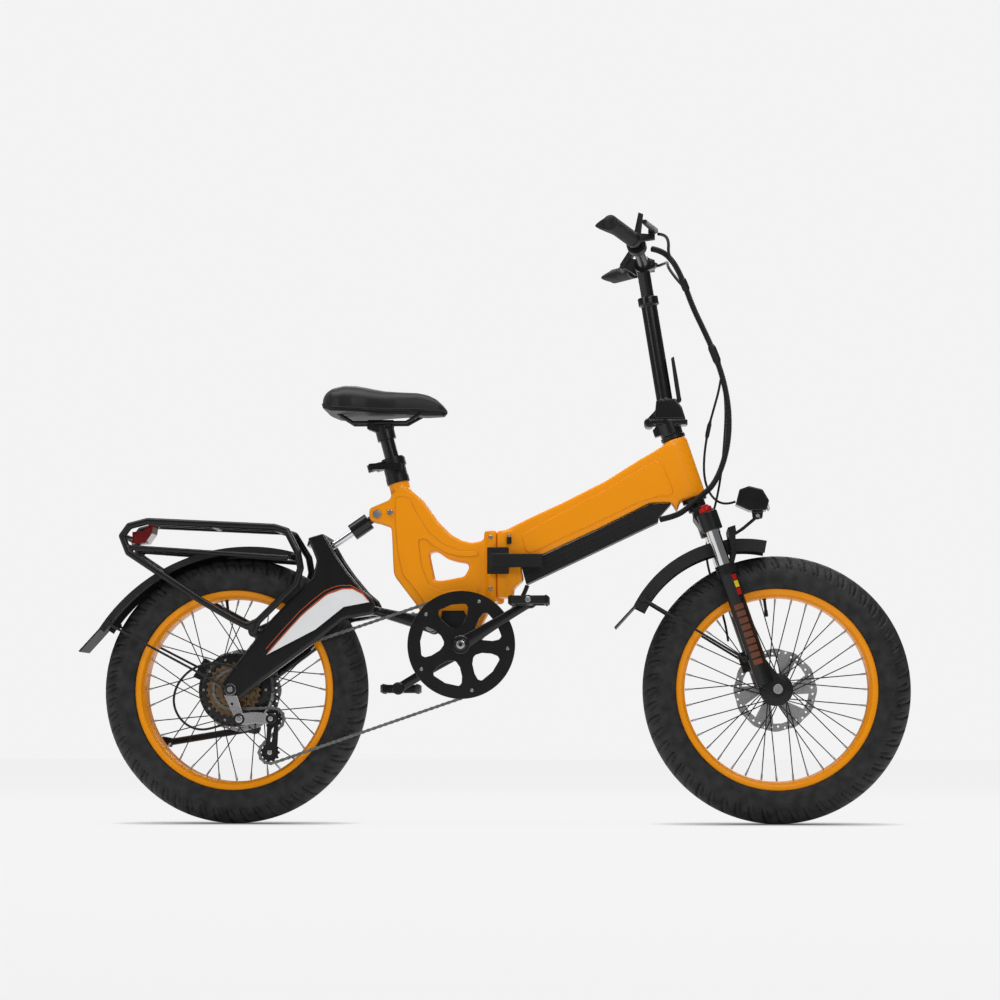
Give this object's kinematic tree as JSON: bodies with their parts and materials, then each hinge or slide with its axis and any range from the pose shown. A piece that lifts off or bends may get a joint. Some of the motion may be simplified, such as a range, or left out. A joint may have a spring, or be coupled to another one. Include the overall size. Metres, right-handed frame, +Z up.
{
  "type": "folding bicycle",
  "caption": "Full-suspension folding bicycle with fat tyres, a rear hub motor, a battery under its main beam, a folding stem, rack, mudguards, lights and kickstand.",
  "frame": {"origin": "on the ground below the middle of the overall length, in the centre plane", "axes": "+X forward, +Y to the rider's left, +Z up; the drive side faces -Y"},
  "size_m": [1.748, 0.6508, 1.2668],
  "materials": {
    "frame_orange": "gloss powder coat",
    "rim_orange": "gloss powder coat",
    "black_metal": "satin black",
    "grey_metal": "satin graphite",
    "tyre": "moulded tread",
    "black_plastic": "fine grain",
    "grip_rubber": "ribbed",
    "saddle_cover": "soft grained cover",
    "bright_steel": "machined",
    "chrome": "polished",
    "cog_steel": "bronze coloured",
    "spoke_black": "black",
    "accent_white": "gloss",
    "lens_red": "ribbed lens"
  },
  "bodies": {
    "rear_frame": {"rear_frame": "frame_orange", "bottom_bracket": "black_metal", "frame_pins": "bright_steel", "seat_collar": "black_metal"},
    "seat_clamp_lever": {"seat_clamp_lever": "black_metal"},
    "seatpost": {"seatpost": "black_metal", "saddle_clamp": "black_metal", "saddle_shell": "black_plastic", "saddle_pad": "saddle_cover"},
    "front_frame": {"front_frame": "frame_orange", "headset": "black_metal"},
    "battery": {"battery": "black_plastic"},
    "frame_latch": {"frame_latch": "black_plastic"},
    "steerer": {"fork_crown": "black_metal", "stanchions": "chrome", "stem_base": "black_metal", "control_cables": "grip_rubber"},
    "fork_lowers": {"fork_lowers": "grey_metal", "front_axle": "bright_steel", "front_mudguard": "black_plastic", "front_caliper": "black_metal"},
    "headlight": {"headlight": "black_plastic"},
    "front_wheel": {"front_tyre": "tyre", "front_rim": "rim_orange", "front_spokes": "spoke_black", "front_hub": "black_metal", "front_rotor": "bright_steel"},
    "stem": {"stem": "black_metal"},
    "stem_latch": {"stem_latch": "black_metal"},
    "riser": {"riser": "black_metal", "handlebar": "black_metal", "grips": "grip_rubber", "cockpit": "black_plastic"},
    "brake_lever_right": {"brake_lever_right": "spoke_black"},
    "brake_lever_left": {"brake_lever_left": "spoke_black"},
    "shift_lever": {"shift_lever": "black_plastic"},
    "swingarm": {"swingarm": "grey_metal", "accent_panels": "accent_white", "rear_axle": "bright_steel", "rack": "black_metal", "tail_light": "lens_red", "rear_mudguard": "black_plastic", "rear_caliper": "black_metal", "chain": "bright_steel", "derailleur": "black_plastic", "rear_cables": "grip_rubber"},
    "shock_body": {"shock_body": "spoke_black"},
    "shock_shaft": {"shock_shaft": "bright_steel"},
    "rear_wheel": {"rear_tyre": "tyre", "rear_rim": "rim_orange", "rear_spokes": "spoke_black", "hub_motor": "black_metal", "rear_rotor": "bright_steel"},
    "freewheel": {"freewheel": "cog_steel"},
    "crankset": {"chainring": "black_metal", "crank_arms": "black_metal"},
    "pedal_right": {"pedal_right": "black_plastic"},
    "pedal_left": {"pedal_left": "black_plastic"},
    "derailleur_cage": {"derailleur_cage": "black_plastic"},
    "kickstand": {"kickstand": "black_metal"}
  },
  "joints": [
    {"name": "frame_fold", "type": "hinge", "parent": "rear_frame", "child": "front_frame", "pos_m": [0.0096, 0.048, 0.54], "axis": [0, 0, 1], "range_deg": [0, 160]},
    {"name": "steering", "type": "hinge", "parent": "front_frame", "child": "steerer", "pos_m": [0.38, 0, 0.816], "axis": [-0.3173, 0, 0.9483], "range_deg": [-35, 35], "deforming": ["control_cables"]},
    {"name": "fork_travel", "type": "slide", "parent": "steerer", "child": "fork_lowers", "axis": [-0.3173, 0, 0.9483], "range_m": [0, 0.03], "stiffness_N_per_m": 9000, "springref_m": -0.008},
    {"name": "front_wheel_spin", "type": "hinge", "parent": "fork_lowers", "child": "front_wheel", "pos_m": [0.594, 0, 0.28], "axis": [0, 1, 0], "continuous": true},
    {"name": "headlight_tilt", "type": "hinge", "parent": "fork_lowers", "child": "headlight", "pos_m": [0.558, 0, 0.645], "axis": [0, 1, 0], "range_deg": [-12, 20]},
    {"name": "stem_fold", "type": "hinge", "parent": "steerer", "child": "stem", "pos_m": [0.33, 0, 0.842], "axis": [0, -1, 0], "range_deg": [0, 115]},
    {"name": "stem_latch_swing", "type": "hinge", "parent": "stem", "child": "stem_latch", "pos_m": [0.394, 0, 0.893], "axis": [0, 1, 0], "range_deg": [0, 100]},
    {"name": "riser_height", "type": "slide", "parent": "stem", "child": "riser", "axis": [0.1555, 0, -0.9878], "range_m": [-0.06, 0.05]},
    {"name": "brake_lever_right_pull", "type": "hinge", "parent": "riser", "child": "brake_lever_right", "pos_m": [0.33783, -0.1919, 1.21502], "axis": [0, 0, -1], "range_deg": [0, 12], "stiffness_Nm_per_rad": 2, "springref_deg": -1.15},
    {"name": "brake_lever_left_pull", "type": "hinge", "parent": "riser", "child": "brake_lever_left", "pos_m": [0.33783, 0.1919, 1.21502], "axis": [0, 0, 1], "range_deg": [0, 12], "stiffness_Nm_per_rad": 2, "springref_deg": -1.15},
    {"name": "shift_lever_turn", "type": "hinge", "parent": "riser", "child": "shift_lever", "pos_m": [0.30824, -0.1392, 1.1952], "axis": [-0.1256, -0.9786, 0.1631], "range_deg": [-20, 35]},
    {"name": "battery_release", "type": "slide", "parent": "front_frame", "child": "battery", "axis": [0.4289, 0, -0.9033], "range_m": [0, 0.05]},
    {"name": "frame_latch_swing", "type": "hinge", "parent": "rear_frame", "child": "frame_latch", "pos_m": [-0.0024, -0.0486, 0.55], "axis": [0, 0, -1], "range_deg": [0, 120]},
    {"name": "seat_clamp_swing", "type": "hinge", "parent": "rear_frame", "child": "seat_clamp_lever", "pos_m": [-0.2589, -0.009, 0.74965], "axis": [0.2588, 0, -0.9659], "range_deg": [0, 130]},
    {"name": "seatpost_height", "type": "slide", "parent": "rear_frame", "child": "seatpost", "axis": [0.2588, 0, -0.9659], "range_m": [-0.11, 0.035]},
    {"name": "swingarm_travel", "type": "hinge", "parent": "rear_frame", "child": "swingarm", "pos_m": [-0.128, 0, 0.415], "axis": [0, 1, 0], "range_deg": [0, 5], "stiffness_Nm_per_rad": 2500, "springref_deg": -2.29, "deforming": ["chain", "rear_cables"]},
    {"name": "shock_swing", "type": "hinge", "parent": "rear_frame", "child": "shock_body", "pos_m": [-0.245, 0, 0.651], "axis": [0, 1, 0], "range_deg": [0, 4]},
    {"name": "shock_travel", "type": "slide", "parent": "shock_body", "child": "shock_shaft", "axis": [0.8236, 0, 0.5671], "range_m": [0, 0.0235]},
    {"name": "rear_wheel_spin", "type": "hinge", "parent": "swingarm", "child": "rear_wheel", "pos_m": [-0.544, 0, 0.28], "axis": [0, 1, 0], "continuous": true},
    {"name": "freewheel_spin", "type": "hinge", "parent": "swingarm", "child": "freewheel", "pos_m": [-0.544, 0, 0.28], "axis": [0, 1, 0], "continuous": true},
    {"name": "crank_spin", "type": "hinge", "parent": "rear_frame", "child": "crankset", "pos_m": [-0.063, 0, 0.373], "axis": [0, 1, 0], "continuous": true},
    {"name": "pedal_right_spin", "type": "hinge", "parent": "crankset", "child": "pedal_right", "pos_m": [0.08226, -0.14, 0.46132], "axis": [0, 1, 0], "continuous": true},
    {"name": "pedal_left_spin", "type": "hinge", "parent": "crankset", "child": "pedal_left", "pos_m": [-0.20826, 0.14, 0.28468], "axis": [0, 1, 0], "continuous": true},
    {"name": "derailleur_cage_swing", "type": "hinge", "parent": "swingarm", "child": "derailleur_cage", "pos_m": [-0.458, -0.06, 0.219], "axis": [0, 1, 0], "range_deg": [-30, 15], "stiffness_Nm_per_rad": 1},
    {"name": "kickstand_swing", "type": "hinge", "parent": "swingarm", "child": "kickstand", "pos_m": [-0.519, 0.1, 0.2], "axis": [0, -1, 0], "range_deg": [0, 80]}
  ],
  "couplings": [
    {"joint": "shock_swing", "follows": "swingarm_travel", "ratio": 0.755},
    {"joint": "shock_travel", "follows": "swingarm_travel", "m_per_rad": 0.2613},
    {"joint": "freewheel_spin", "follows": "crank_spin", "ratio": 2.6}
  ]
}
